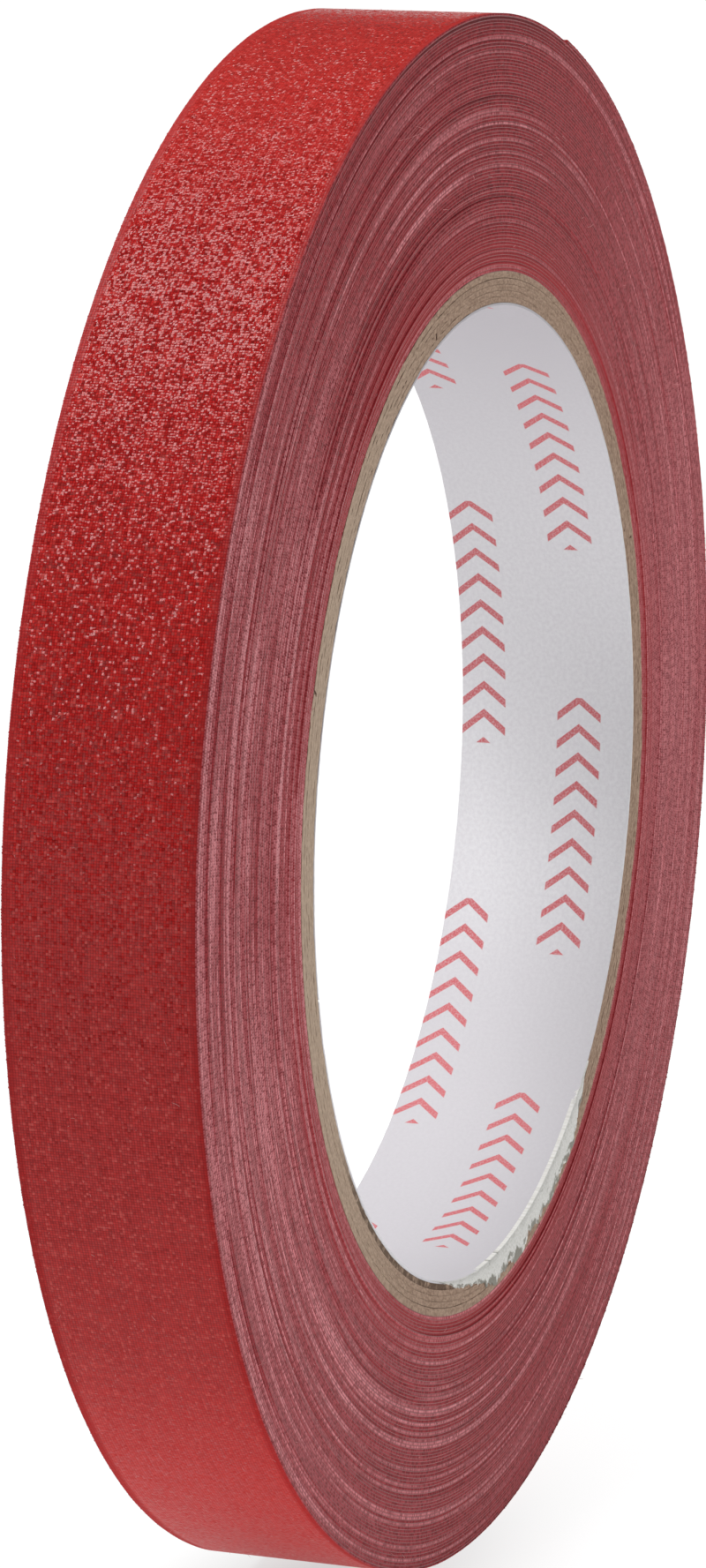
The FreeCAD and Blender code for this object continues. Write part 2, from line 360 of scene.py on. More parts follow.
def woven_cloth():
    """The cloth's face: a fine plain weave of glossy red yarns, each crossing tilted a little its own way.

    It is rougher and duller low on the roll and along the edges. Painted light makes it redder low on the
    roll, lighter and more orange at the top, lighter on the yarns' crests and pale in glints on a few
    crossings; painted shade darkens it along the edges and between the crossings.
    """
    s = Surface("woven_cloth", Specular_IOR_Level=0.20)
    u, v, _ = s.attribute("strip")
    place = s.vector(u, v)
    uneven = s.noise(place, 0.6, 2.0)
    along = s.math("MULTIPLY_ADD", uneven, 0.4, s.math("DIVIDE", u, YARN_PITCH))
    across = s.math("MULTIPLY_ADD", uneven, 0.5, s.math("DIVIDE", v, YARN_PITCH))
    weft, warp = s.math("FLOOR", along), s.math("FLOOR", across)
    along_cell = s.math("SUBTRACT", s.math("FRACT", along), 0.5)
    across_cell = s.math("SUBTRACT", s.math("FRACT", across), 0.5)
    round_weft = s.math("COSINE", s.math("MULTIPLY", along_cell, math.pi))
    round_warp = s.math("COSINE", s.math("MULTIPLY", across_cell, math.pi))
    weft_on_top = s.math("PINGPONG", s.math("ADD", warp, weft), 1.0)
    bulge = s.math("MULTIPLY", round_warp, round_weft)
    warp_height = s.math("MULTIPLY_ADD", bulge, 0.6, s.math("MULTIPLY", round_warp, 0.4))
    weft_height = s.math("MULTIPLY_ADD", bulge, 0.6, s.math("MULTIPLY", round_weft, 0.4))
    height = s.math("MULTIPLY_ADD", s.math("SUBTRACT", weft_height, warp_height), weft_on_top, warp_height)

    tilt_along, tilt_across, tone_gloss_and_glint = s.random_vector(s.vector(warp, weft))
    tilt_along = s.math("POWER", s.math("MULTIPLY_ADD", tilt_along, 2.0, -1.0), 3.0)
    tilt_across = s.math("POWER", s.math("MULTIPLY_ADD", tilt_across, 2.0, -1.0), 3.0)
    tilt = s.math("MULTIPLY_ADD", tilt_across, across_cell, s.math("MULTIPLY", tilt_along, along_cell))
    from_middle = s.math("ABSOLUTE", s.math("SUBTRACT", v, TAPE_WIDTH / 2))
    edge = s.ramp(from_middle, TAPE_WIDTH / 2 - 0.8, TAPE_WIDTH / 2 - 0.3)
    round_roll = s.math("DIVIDE", s.math("SUBTRACT", u, strip_length(TURNS)), BEND_RADIUS)
    low_down = s.math("COSINE", s.math("SUBTRACT", round_roll, math.radians(250)))
    high_up = s.math("COSINE", s.math("SUBTRACT", round_roll, math.radians(90)))
    rubbed = s.ramp(low_down, 0.2, 0.75)
    tilt_size = s.math("MULTIPLY", s.math("MULTIPLY_ADD", edge, -0.8, 1.0),
                       s.math("MULTIPLY_ADD", rubbed, -5.8, 9.5))
    relief = s.math("MULTIPLY_ADD", tilt, tilt_size, height)

    cloudy = s.noise(place, 0.35, 4.0, 0.6)
    yarns = s.math("ADD", s.random(s.vector(warp, 0.5)), s.random(s.vector(0.5, weft)))
    # Painted light and shade: the yarns' crests are lighter and the gaps between crossings darker.
    tone = s.math("MULTIPLY_ADD", height, 0.35, s.math("MULTIPLY", tone_gloss_and_glint, 0.2))
    tone = s.math("MULTIPLY_ADD", yarns, 0.08, tone)
    red = s.mix(s.ramp(tone, 0.05, 0.65), colour(144, 17, 19), colour(188, 40, 38))
    red = s.mix(s.ramp(bulge, 0.0, 0.35, 0.25, 0.0), red, colour(96, 8, 12))
    # Painted glints: pale specks on a few crossings.
    red = s.mix(s.ramp(tone_gloss_and_glint, 0.85, 1.0, 0.0, 0.18), red, colour(224, 130, 122))
    red = s.mix(s.ramp(cloudy, 0.45, 0.75, 0.0, 0.08), red, colour(206, 90, 84))
    # Painted light: a brighter red low on the roll and a lighter orange at the top.
    red = s.mix(s.ramp(low_down, 0.75, 0.98, 0.0, 0.5), red, colour(216, 40, 38))
    red = s.mix(s.ramp(high_up, 0.75, 1.0, 0.0, 0.3), red, colour(216, 68, 60))
    # Painted shade: darker along the edges.
    red = s.mix(s.math("MULTIPLY", edge, 0.35), red, colour(140, 14, 18))
    roughness = s.math("MULTIPLY_ADD", rubbed, 0.24, s.ramp(tone_gloss_and_glint, 0.0, 1.0, 0.16, 0.30))
    roughness = s.math("MULTIPLY_ADD", edge, 0.3, roughness)
    return s.finish(red, roughness, relief, relief_height=0.015)


def cut_edge():
    """The cut edges of the cloth: yarn ends, redder near the core, with pale dust and lint in streaks, and
    painted light and shade that make them paler and darker.
    """
    s = Surface("cut_edge", Specular_IOR_Level=0.12, Roughness=0.65)
    u, v, pale = s.attribute("strip")
    place = s.vector(u, s.math("MULTIPLY", v, 3.0))
    end = s.math("COSINE", s.math("MULTIPLY", s.math("DIVIDE", u, YARN_PITCH), TURN))
    yarn = s.random(s.vector(s.math("FLOOR", s.math("DIVIDE", u, YARN_PITCH)), 0.5))
    lint = s.noise(place, 2.5, 4.0, 0.65)
    dyed = s.noise(s.vector(s.math("MULTIPLY", u, 0.02), v), 1.0, 3.0, 0.6)
    tone = s.math("MULTIPLY_ADD", lint, 0.35, s.math("MULTIPLY", end, 0.10))
    tone = s.math("MULTIPLY_ADD", yarn, 0.45, s.math("MULTIPLY_ADD", dyed, 0.30, tone))
    base = s.mix(s.ramp(tone, 0.2, 0.8), colour(118, 18, 26), colour(164, 48, 56))
    base = s.mix(s.ramp(u, 500.0, 5500.0, 0.6, 0.0), base, colour(166, 34, 40))
    # Painted shade: darker where the edge's paleness is below 0.
    base = s.mix(s.ramp(pale, -1.0, 0.0, 0.8, 0.0), base, colour(84, 10, 18))
    speckle = s.math("MULTIPLY_ADD", yarn, 1.0, s.math("MULTIPLY_ADD", end, 0.25, 0.33))
    from_middle = s.math("ABSOLUTE", s.math("SUBTRACT", v, TAPE_WIDTH / 2))
    # The share mixed to pale pink holds dust and lint and painted light, strongest on the crest of each edge.
    from_crest = s.math("ABSOLUTE", s.math("SUBTRACT", from_middle, TAPE_WIDTH / 2 + 0.13))
    crest = s.ramp(from_crest, 0.03, 0.10, 1.15, 0.45)
    paler = s.math("MULTIPLY", s.math("MULTIPLY", s.math("MAXIMUM", pale, 0.0), crest), speckle, clamp=True)
    base = s.mix(paler, base, colour(230, 146, 152))
    return s.finish(base, None, s.math("ADD", lint, s.math("MULTIPLY", end, 0.4)), relief_height=0.03)


def tape_adhesive():
    """The adhesive: soft, slightly glossy, and stained by the dye."""
    s = Surface("tape_adhesive", Specular_IOR_Level=0.45, Coat_Weight=0.1)
    u, v, _ = s.attribute("strip")
    place = s.vector(u, v)
    smears = s.noise(s.vector(s.math("MULTIPLY", u, 0.15), v), 1.6, 4.0, 0.6)
    pits = s.noise(place, 1.8, 3.0, 0.5)
    base = s.mix(s.ramp(smears, 0.3, 0.7), colour(112, 24, 30), colour(152, 50, 52))
    return s.finish(base, s.ramp(pits, 0.3, 0.7, 0.28, 0.5), pits, relief_height=0.02)


def core_board():
    """Grey-brown board: pressed fibres, in flecks of several browns.

    Painted light makes it paler on the -X side of the roll, and low on that side it is darker in ragged
    flecks along the front edge of the innermost ply.
    """
    s = Surface("core_board", Specular_IOR_Level=0.2, Roughness=0.9)
    u, v, inner = s.attribute("strip")
    fibres = s.noise(s.vector(s.math("MULTIPLY", u, 0.5), v, s.math("MULTIPLY", u, 0.1)), 5.0, 5.0, 0.65)
    flecks = s.noise(s.vector(u, v, 3.0), 1.7, 4.0, 0.6)
    angle = s.math("DIVIDE", u, s.math("ADD", inner, PLY_THICKNESS / 2))
    base = s.mix(s.ramp(fibres, 0.3, 0.7), colour(142, 116, 98), colour(188, 161, 140))
    base = s.mix(s.ramp(flecks, 0.56, 0.72, 0.0, 0.4), base, colour(112, 88, 72))
    # Painted light: paler on the -X side of the roll.
    paler = s.ramp(s.math("COSINE", s.math("SUBTRACT", angle, math.radians(175))), 0.2, 1.0, 0.0, 0.4)
    base = s.mix(paler, base, colour(214, 194, 172))
    # Darker ragged flecks along the front edge of the innermost ply, low on the -X side.
    torn = s.ramp(s.math("COSINE", s.math("SUBTRACT", angle, math.radians(243))), 0.84, 0.94)
    innermost = s.ramp(inner, LINER_OUTSIDE + 0.1, LINER_OUTSIDE + 0.2, 1.0, 0.0)
    front = s.ramp(s.math("SUBTRACT", CORE_WIDTH / 2, v), -0.02, 0.0, 0.0, 1.0)
    dark_flecks = s.ramp(s.noise(s.vector(u, s.math("MULTIPLY", v, 0.5), 9.0), 1.4, 4.0, 0.65), 0.34, 0.50)
    dark_flecks = s.math("MULTIPLY", s.math("MULTIPLY", dark_flecks, torn), s.math("MULTIPLY", innermost, front))
    base = s.mix(s.math("MULTIPLY", dark_flecks, 0.75), base, colour(70, 50, 36))
    return s.finish(base, None, fibres, relief_height=0.035)


def printed_paper():
    """White coated paper, printed in red with two staggered rows of marks, each a run of arrowheads."""
    s = Surface("printed_paper", Specular_IOR_Level=0.2)
    u, v, _ = s.attribute("strip")
    mark_step, mark_reach, arrow_step = 35.15, 11.0, 2.4
    half_width, stroke_edges = 1.9, (0.13, 0.16)
    rows = ((18.24, -2.8), (0.66, 5.6))
    ink = None
    for start, row in rows:
        cell = s.math("ADD", s.math("DIVIDE", s.math("SUBTRACT", u, start), mark_step), 0.5)
        a = s.math("MULTIPLY", s.math("SUBTRACT", s.math("FRACT", cell), 0.5), mark_step)
        b = s.math("ABSOLUTE", s.math("SUBTRACT", v, row))
        wave = s.math("FRACT", s.math("DIVIDE", s.math("ADD", a, s.math("MULTIPLY", b, 0.8)), arrow_step))
        stroke = s.ramp(s.math("ABSOLUTE", s.math("SUBTRACT", wave, 0.5)), *stroke_edges, 1.0, 0.0)
        inside = s.math("MULTIPLY", s.ramp(b, half_width - 0.05, half_width + 0.05, 1.0, 0.0),
                        s.ramp(s.math("ABSOLUTE", a), mark_reach - 0.1, mark_reach, 1.0, 0.0))
        printed = s.math("MULTIPLY", stroke, inside)
        ink = printed if ink is None else s.math("MAXIMUM", ink, printed)
    grain = s.noise(s.vector(u, v), 3.0, 4.0, 0.6)
    patchy = s.noise(s.vector(u, v, 7.0), 6.0, 3.0, 0.7)
    paper = s.mix(s.ramp(grain, 0.3, 0.7), colour(227, 225, 229), colour(236, 235, 238))
    # Painted shade: the paper is greyer high in the bore, and less so low in it.
    round_bore = s.math("COSINE", s.math("SUBTRACT", s.math("DIVIDE", u, BORE_RADIUS), math.radians(110)))
    painted_shade = s.math("ADD", s.ramp(round_bore, -0.2, 0.9), s.ramp(round_bore, -0.95, -0.6, 0.65, 0.0))
    paper = s.mix(painted_shade, paper, colour(187, 183, 188))
    ink = s.math("MULTIPLY", ink, s.ramp(patchy, 0.3, 0.6, 0.55, 0.95))
    paper = s.mix(ink, paper, colour(206, 88, 94))
    return s.finish(paper, s.ramp(grain, 0.3, 0.7, 0.5, 0.65), grain, relief_height=0.012)


def torn_paper():
    """The torn, fuzzy side of the liner's paper, with painted shadow in grey-brown patches."""
    s = Surface("torn_paper", Specular_IOR_Level=0.2, Roughness=0.85)
    u, v, _ = s.attribute("strip")
    fibres = s.noise(s.vector(u, v), 4.0, 5.0, 0.7)
    shadow_patches = s.noise(s.vector(u, v, 5.0), 0.7, 4.0, 0.6)
    base = s.mix(s.ramp(fibres, 0.3, 0.7), colour(216, 215, 208), colour(244, 243, 240))
    # Painted shadow: grey-brown patches, more of them towards the flap's outer edge.
    painted_shadow = s.math("ADD", shadow_patches, s.ramp(v, 0.9, 2.3, -0.06, 0.14))
    base = s.mix(s.ramp(painted_shadow, 0.56, 0.68, 0.0, 0.8), base, colour(116, 112, 98))
    return s.finish(base, None, fibres, relief_height=0.06)


def loose_fibre():
    """Single fibres of the cloth."""
    s = Surface("loose_fibre", Specular_IOR_Level=0.4, Sheen_Weight=0.3)
    along = s.node("TexCoord").outputs["Object"]
    tone = s.noise(along, 900.0, 2.0)
    return s.finish(s.mix(tone, colour(190, 96, 98), colour(228, 176, 172)), s.ramp(tone, 0.3, 0.7, 0.4, 0.6))


CLOTH = woven_cloth()
EDGE = cut_edge()
GLUE = tape_adhesive()
BOARD = core_board()
LINER = printed_paper()
TORN = torn_paper()
FIBRE = loose_fibre()

# ---------------------------------------------------------------- the wound tape

WINDING_STATIONS = 360
EDGE_KIND, GLUE_KIND, CLOTH_KIND = range(3)
WALL_PALE = 0.3
GROOVE = 0.012
# The edge of one wound turn: the height of each point above the turn's underside, and how far in it lies.
EDGE_PROFILE = np.array([(0.0, GROOVE), (0.045, GROOVE), (0.08, 0.003), (0.15, 0.0), (0.21, 0.004)])


def wound_band(name, first, last):
    """Turns of the strip wound solid. Its cut edges are ridges on both sides, with adhesive between them.

    The first lap's inner wall and the last lap's outer wall close the solid, which follows the spiral.
    """
    count = round((last - first) * WINDING_STATIONS) + 1
    turns = first + np.arange(count) / WINDING_STATIONS
    own_turn = turns[:, None] + np.array([0, 0, 0, 0, 0, 1])
    heights, depths = np.vstack([EDGE_PROFILE, EDGE_PROFILE[:1]]).T
    radius = WOUND_RADIUS + PITCH * own_turn + heights
    shift = strip_shift(own_turn)
    length = np.broadcast_to(strip_length(turns)[:, None], radius.shape)
    columns = len(EDGE_PROFILE)
    unshared = count - WINDING_STATIONS

    def side_points(across, offset):
        """One side's points, and their numbers: a turn's last column is the first of the turn outside it."""
        grid = polar(radius, across, TURN * turns[:, None])
        points = np.vstack([grid[:, :columns].reshape(-1, 3), grid[unshared:, columns]])
        numbers = offset + np.arange(count * columns).reshape(count, columns)
        added = offset + count * columns + np.arange(WINDING_STATIONS)
        return points, np.hstack([numbers, np.concatenate([numbers[WINDING_STATIONS:, 0], added])[:, None]])

    front_points, front = side_points(shift - TAPE_WIDTH / 2 + depths, 0)
    back_points, back = side_points(shift + TAPE_WIDTH / 2 - depths, len(front_points))
    height = np.append(heights[:columns], PITCH)
    front_pale, back_pale = (streaks(turns, side)[:, None] + 0 * radius for side in (1, -1))
    front_values = np.stack([length, 0 * radius - height, front_pale], axis=-1)
    back_values = np.stack([length, 0 * radius + TAPE_WIDTH + height, back_pale], axis=-1)
    edge_kinds = np.array([GLUE_KIND, *[EDGE_KIND] * (columns - 1)])
    inner_rows = slice(0, WINDING_STATIONS + 1)
    outer_rows = slice(count - WINDING_STATIONS - 1, count)

    def wall_values(rows):
        """The strip values of one wall's rows, which reach from the front to the back."""
        long = length[rows, :1]
        across = np.hstack([0 * long, 0 * long + TAPE_WIDTH])
        return np.stack([np.hstack([long, long]), across, np.full_like(across, WALL_PALE)], axis=-1)

    inner_wall = np.stack([front[inner_rows, 0], back[inner_rows, 0]], axis=1)
    outer_wall = np.stack([back[outer_rows, -1], front[outer_rows, -1]], axis=1)
    patches = [
        patch(front[:, ::-1], front_values[:, ::-1], edge_kinds[::-1]),
        patch(back, back_values, edge_kinds),
        patch(inner_wall, wall_values(inner_rows), EDGE_KIND),
        patch(outer_wall, wall_values(outer_rows), CLOTH_KIND),
    ]
    around_start = np.concatenate([back[0, -1:], front[0, ::-1], back[0, :-1]])
    around_end = np.concatenate([back[-1, -1:], front[-1, ::-1], back[-1, :-1]])[::-1]
    points = np.vstack([front_points, back_points])
    return make_mesh(name, points, patches, [EDGE, GLUE, CLOTH], [around_start, around_end], sharp=70)


CLOTH_THICKNESS = PITCH - ADHESIVE
# The cloth's section, from the back of its outer side round to the front: the share of the way to the back,
# the distance in from that edge, and the height above the underside.
CLOTH_SECTION = [
    (1.0, 0.055, CLOTH_THICKNESS),
    *((share, 0.0, CLOTH_THICKNESS) for share in (0.9, 0.75, 0.6, 0.5, 0.4, 0.25, 0.1)),
    (0.0, 0.055, CLOTH_THICKNESS),
    (0.0, 0.014, 0.148),
    (0.0, 0.0, 0.085),
    (0.0, 0.008, 0.022),
    (0.0, 0.03, 0.0),
    (0.5, 0.0, 0.0),
    (1.0, 0.03, 0.0),
    (1.0, 0.008, 0.022),
    (1.0, 0.0, 0.085),
    (1.0, 0.014, 0.148),
]
# Which of the cloth's materials each side of that section has: 0 for its faces and 1 for its cut edges.
CLOTH_KINDS = [0] * 8 + [1] * 4 + [0] * 2 + [1] * 4
ADHESIVE_SECTION = [
    (1.0, 0.03, ADHESIVE),
    (0.0, 0.03, ADHESIVE),
    (0.0, 0.02, ADHESIVE / 2),
    (0.0, 0.03, 0.0),
    (0.5, 0.0, 0.0),
    (1.0, 0.03, 0.0),
    (1.0, 0.02, ADHESIVE / 2),
]
OUTER_STATION = YARN_PITCH / 3


def outer_stations(first, last):
    """Turns from first to last, three to each crossways yarn."""
    count = round((strip_length(last) - strip_length(first)) / OUTER_STATION)
    return np.linspace(first, last, count + 1)


def yarn_teeth(turns, seed):
    """How far each crossways yarn sticks out of the cloth's edge."""
    yarn = np.floor(strip_length(turns) / YARN_PITCH).astype(int)
    place = strip_length(turns) / YARN_PITCH - yarn
    sizes = np.abs(np.random.default_rng(seed).standard_normal(yarn.max() + 1))
    return (0.012 + 0.030 * sizes[yarn]) * np.sin(math.pi * place) ** 2


def free_end_lift(turns):
    """How far the free end stands off the turn under it: a hair's breadth, and more at its cut edge."""
    start = TURNS + HINGE_ANGLES[0] / TURN
    cut = TURNS + END_ANGLE / TURN
    rise = 0.015 * smooth_step(turns, start, start + 0.004)
    return rise + 0.02 * smooth_step(turns, cut - 0.0045, cut) ** 2


def tape_layer(name, turns, section, base, materials, kinds=0, toothed=False):
    """A length of one layer of the strip. Its underside is base above the underside of the strip."""
    share, inset, height = np.array(section).T
    turns = turns[:, None]
    ripple = 0.012 * wander(turns, 0.021, 21) + 0.006 * wander(turns + 0.002 * share, 0.006, 22)
    radius = WOUND_RADIUS + PITCH * turns + free_end_lift(turns) + base + height
    radius = radius + ripple * smooth_step(height, 0.1, CLOTH_THICKNESS)
    side = np.where(share > 0.5, -1, 1) * (np.abs(share - 0.5) == 0.5)
    across = (share - 0.5) * TAPE_WIDTH + side * inset + strip_shift(turns)
    if toothed:
        front = yarn_teeth(turns, 31) * (side > 0)
        back = yarn_teeth(turns, 32) * (side < 0)
        middle = 1 - np.abs(height - CLOTH_THICKNESS / 2) / CLOTH_THICKNESS
        across = across + (back - front) * middle
    points = polar(radius, across, TURN * turns)
    section_points = np.stack([(share - 0.5) * TAPE_WIDTH + side * inset, height], axis=-1)
    steps = np.linalg.norm(np.roll(section_points, -1, 0) - section_points, axis=1)
    round_section = TAPE_WIDTH - np.concatenate([[0], np.cumsum(steps)])
    length = strip_length(turns) + 0 * round_section
    # Painted light: the cut edges are paler on the roll's -X and +X sides.
    pale = 0.15 + 0.5 * np.cos(TURN * turns) ** 2
    values = np.stack([length, 0 * length + round_section, pale + 0 * length], axis=-1)
    return closed_sweep(name, points, values, materials, kinds)


# The free end starts at the first hinge, 40 degrees round.
END_START = 40 / 360
OUTER_START = TURNS - 1 + END_START


def wound_tape():
    """The strip from the core out to the free end: solid bands, and the outermost turn in fine detail.

    There are three bands because the export thins out a mesh of more than 200,000 faces.
    """
    edges = [0, 26, 52, OUTER_START]
    for number, (first, last) in enumerate(zip(edges, edges[1:]), start=1):
        band = wound_band(f"wound_band_{number}", first, last)
        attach(band, "roll")
        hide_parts("cloth_windings", "adhesive_windings")
    turns = outer_stations(OUTER_START, TURNS + END_START)
    cloth = tape_layer("outer_turn_cloth", turns, CLOTH_SECTION, ADHESIVE, [CLOTH, EDGE],
                       CLOTH_KINDS, toothed=True)
    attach(cloth, "roll")
    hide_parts("cloth_windings")
    glue = tape_layer("outer_turn_adhesive", turns[::3], ADHESIVE_SECTION, 0.0, [GLUE])
    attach(glue, "roll")
    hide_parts("adhesive_windings")


def free_end():
    """The strip's free end: a length for each hinge, and a last length that rides on the end."""
    bends = [HINGE_ANGLES[0] + LENGTH_SWEEP * (number + 0.5) for number in range(len(HINGES))]
    limits = [END_START * TURN, *bends, END_ANGLE]
    bodies = ["roll", *(joint["child"] for joint in PEEL_JOINTS)]
    for number in range(len(bodies)):
        first, last = (TURNS + angle / TURN for angle in limits[number:number + 2])
        turns = outer_stations(first, last)
        made = [
            tape_layer(f"cloth_end_length_{number + 1}", turns, CLOTH_SECTION, ADHESIVE, [CLOTH, EDGE],
                       CLOTH_KINDS, toothed=True),
            tape_layer(f"adhesive_end_length_{number + 1}", turns, ADHESIVE_SECTION, 0.0, [GLUE]),
        ]
        for piece, layer, finish in zip(made, ("cloth", "adhesive"), ("red_cloth", "adhesive")):
            if number < len(HINGES):
                start = HINGES[0] if number == 0 else polar(BEND_RADIUS, 0.0, limits[number])
                end = polar(BEND_RADIUS, 0.0, limits[number + 1])
                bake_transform(piece)
            else:
                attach(piece, bodies[number])
            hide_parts(f"{layer}_end_{max(number, 1)}")


# ---------------------------------------------------------------- the core

CORE_STATIONS = 720
# The outermost ply reaches almost to the underside of the first turn, which rises by one pitch on its way.
OUTERMOST_SWELL = 0.9 * PITCH


def layer_stations(count, seam, gap, radius, across):
    """Angles round one layer of the core, from one side of its slanting seam to the other."""
    slant = np.arcsin(np.clip(across / (radius * math.tan(SEAM_SLOPE)), -1, 1))
    start = seam - slant + gap / radius
    around = np.linspace(0, 1, count)[:, None]
    return start + around * (TURN - 2 * gap / radius)


def core_layer(name, inner, outer, seam, gap, material, columns, edge_columns, rough, swell):
    """One layer of the core: a strip of board or paper bent into a ring, with slightly uneven edges.

    Its outer radius grows by the swell over one turn, as the underside of the tape on it does.
    """
    half = CORE_WIDTH / 2
    faces = np.linspace(1, -1, columns)
    thick = np.linspace(1, 0, edge_columns)
    side = np.concatenate([faces, -np.ones(edge_columns - 2), -faces, np.ones(edge_columns - 2)])
    height = np.concatenate([np.ones(columns), thick[1:-1], np.zeros(columns), thick[::-1][1:-1]])
    radius = inner + (outer - inner) * height
    angle = layer_stations(CORE_STATIONS, seam, gap, radius, side * half)
    swollen = radius + swell * (angle / TURN % 1) * (height == 1)
    random = np.random.default_rng(round(outer * 100))
    on_edge = np.abs(side) == 1
    ragged = rough * random.standard_normal((CORE_STATIONS, len(side)))
    waves = rough * wander(angle - angle.min() + 0 * ragged, 0.03, round(inner * 100))
    across = side * (half - (np.abs(ragged) + np.abs(waves)) * on_edge)
    points = polar(swollen, across, angle)
    middle = (inner + outer) / 2
    section = np.stack([side * half, radius], axis=-1)
    steps = np.linalg.norm(np.roll(section, -1, 0) - section, axis=1)
    round_section = np.concatenate([[0], np.cumsum(steps)])
    start_of_inside = round_section[columns + edge_columns - 2]
    across_value = round_section - start_of_inside - half
    angle = np.hstack([angle, angle[:, :1]])
    values = np.stack([angle * middle, 0 * angle + across_value, 0 * angle + inner], axis=-1)
    return closed_sweep(name, points, values, [material])


def core():
    """The core: five plies of board, and the printed paper that lines its bore."""
    board = [f"core_ply_{number}" for number in range(1, PLIES + 1)]
    for number, node in enumerate(["core_liner", *board]):
        outer = in_mm(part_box(node))[1][0]
        liner = node == "core_liner"
        thickness = LINER_OUTSIDE - BORE_RADIUS if liner else PLY_THICKNESS
        outermost = node == board[-1]
        if outermost:
            outer = WOUND_RADIUS
        ring = core_layer(
            node.replace("core", "detailed"),
            inner=outer - thickness,
            outer=outer,
            seam=LINER_SEAM_ANGLE + number * SEAM_STEP,
            gap=SEAM_GAP / 2 / math.sin(SEAM_SLOPE),
            material=LINER if liner else BOARD,
            columns=25 if liner else 9,
            edge_columns=3 if liner else 5,
            rough=0.006 if liner else 0.02,
            swell=OUTERMOST_SWELL if outermost else 0.0,
        )
        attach(ring, "roll")
        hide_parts(node)


def torn_liner_edge():
    """Paper of the liner, torn and folded out over the front of the board, low on the roll's +X side."""
    first, last = math.radians(-109), math.radians(-46)
    stations = 420
    angle = np.linspace(first, last, stations)
    part = (angle - first) / (last - first)
    envelope = smooth_step(part, 0, 0.45) * smooth_step(1 - part, 0, 0.16)
    ragged = 0.35 * wander(part, 0.035, 41) + 0.2 * wander(part, 0.011, 42) + 0.08 * wander(part, 0.004, 43)
    reach = np.clip(envelope * (2.15 + ragged), 0.03, 2.5)
    # The flap's section: each point's share of the reach, and how far it lies off the front of the board.
    shares = np.array([1.0, 1.0, 0.75, 0.5, 0.25, 0.06, -0.02, -0.02, 0.06, 0.5])
    lifted = np.array([0.01, 0.05, 0.09, 0.10, 0.09, 0.07, 0.0, -0.35, 0.0, 0.015])
    wave = 1 + 0.45 * np.clip(wander(part[:, None] + 0.02 * shares, 0.02, 44), -1.5, 1.5)
    radius = BORE_RADIUS + 0.02 + reach[:, None] * shares
    lift = np.where(lifted > 0.02, lifted * wave, lifted)
    points = polar(radius, -CORE_WIDTH / 2 - lift, angle[:, None])
    values = np.stack(np.broadcast_arrays(
        angle[:, None] * BORE_RADIUS, np.append(reach.max() * shares, 0)[None, :], 0.0), axis=-1)
    flap = closed_sweep("torn_liner_edge", points, values, [TORN])
    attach(flap, "roll")


# ---------------------------------------------------------------- loose fibres

EDGE_FIBRES = 520
RIM_FIBRES = 420


def fibres(name, paths, radii, body):
    """Fine fibres as one piece: each a tube of five sides along its path, pointed at both ends."""
    sides = 5
    points, quads, total = [], [], 0
    spokes = TURN * np.arange(sides)[:, None] / sides
    for path, radius in zip(paths, radii):
        along = np.gradient(path, axis=0)
        along /= np.linalg.norm(along, axis=1, keepdims=True)
        first = np.cross(along, (0.31, 0.83, 0.46))
        first /= np.linalg.norm(first, axis=1, keepdims=True)
        second = np.cross(along, first)
        taper = radius * np.sqrt(np.clip(1 - np.linspace(-1, 1, len(path)) ** 4, 0.02, 1))
        ring = np.cos(spokes) * first[:, None] + np.sin(spokes) * second[:, None]
        points.append((path[:, None] + taper[:, None, None] * ring).reshape(-1, 3))
        numbers = total + np.arange(len(path) * sides).reshape(len(path), sides)
        quads.append(np.hstack([numbers, numbers[:, :1]]))
        total += len(path) * sides
    patches = [patch(grid[::-1], np.zeros((*grid.shape, 3))) for grid in quads]
    caps = [cap for grid in quads for cap in (grid[0, :-1][::-1], grid[-1, :-1])]
    piece = make_mesh(name, np.vstack(points), patches, [FIBRE], caps)
    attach(piece, body)


def curled(start, direction, length, curl, random):
    """A fibre's path from its start: mostly in one direction, curling a little."""
    part = np.linspace(0, 1, 7)[:, None]
    sideways = random.standard_normal((2, 3)) * curl * length
    return start + direction * length * part + sideways[0] * part**2 + sideways[1] * part**3


def edge_fibres():
    """Short fibres that stick out of the cut edges of the cloth, on both sides and along the rim."""
    random = np.random.default_rng(51)
    paths, radii = [], []
    for _ in range(EDGE_FIBRES):
        turn = random.uniform(0.5, TURNS)
        front = random.random() < 0.6
        angle = TURN * turn
        across = strip_shift(np.array(turn)) + (-TAPE_WIDTH / 2 if front else TAPE_WIDTH / 2)
        start = polar(WOUND_RADIUS + PITCH * turn + 0.16, across + (0.03 if front else -0.03), angle)
        tangent = polar(1.0, 0.0, angle + math.pi / 2) * random.choice([-1, 1])
        out = np.array([0, -1 if front else 1, 0])
        lean = random.uniform(0.1, 0.9)
        direction = tangent * (1 - lean) + out * lean * 0.5
        paths.append(curled(start, direction, min(random.gamma(2.0, 0.22) + 0.12, 1.3), 0.22, random))
        radii.append(random.uniform(0.009, 0.018))
    fibres("edge_fibres", paths, radii, "roll")


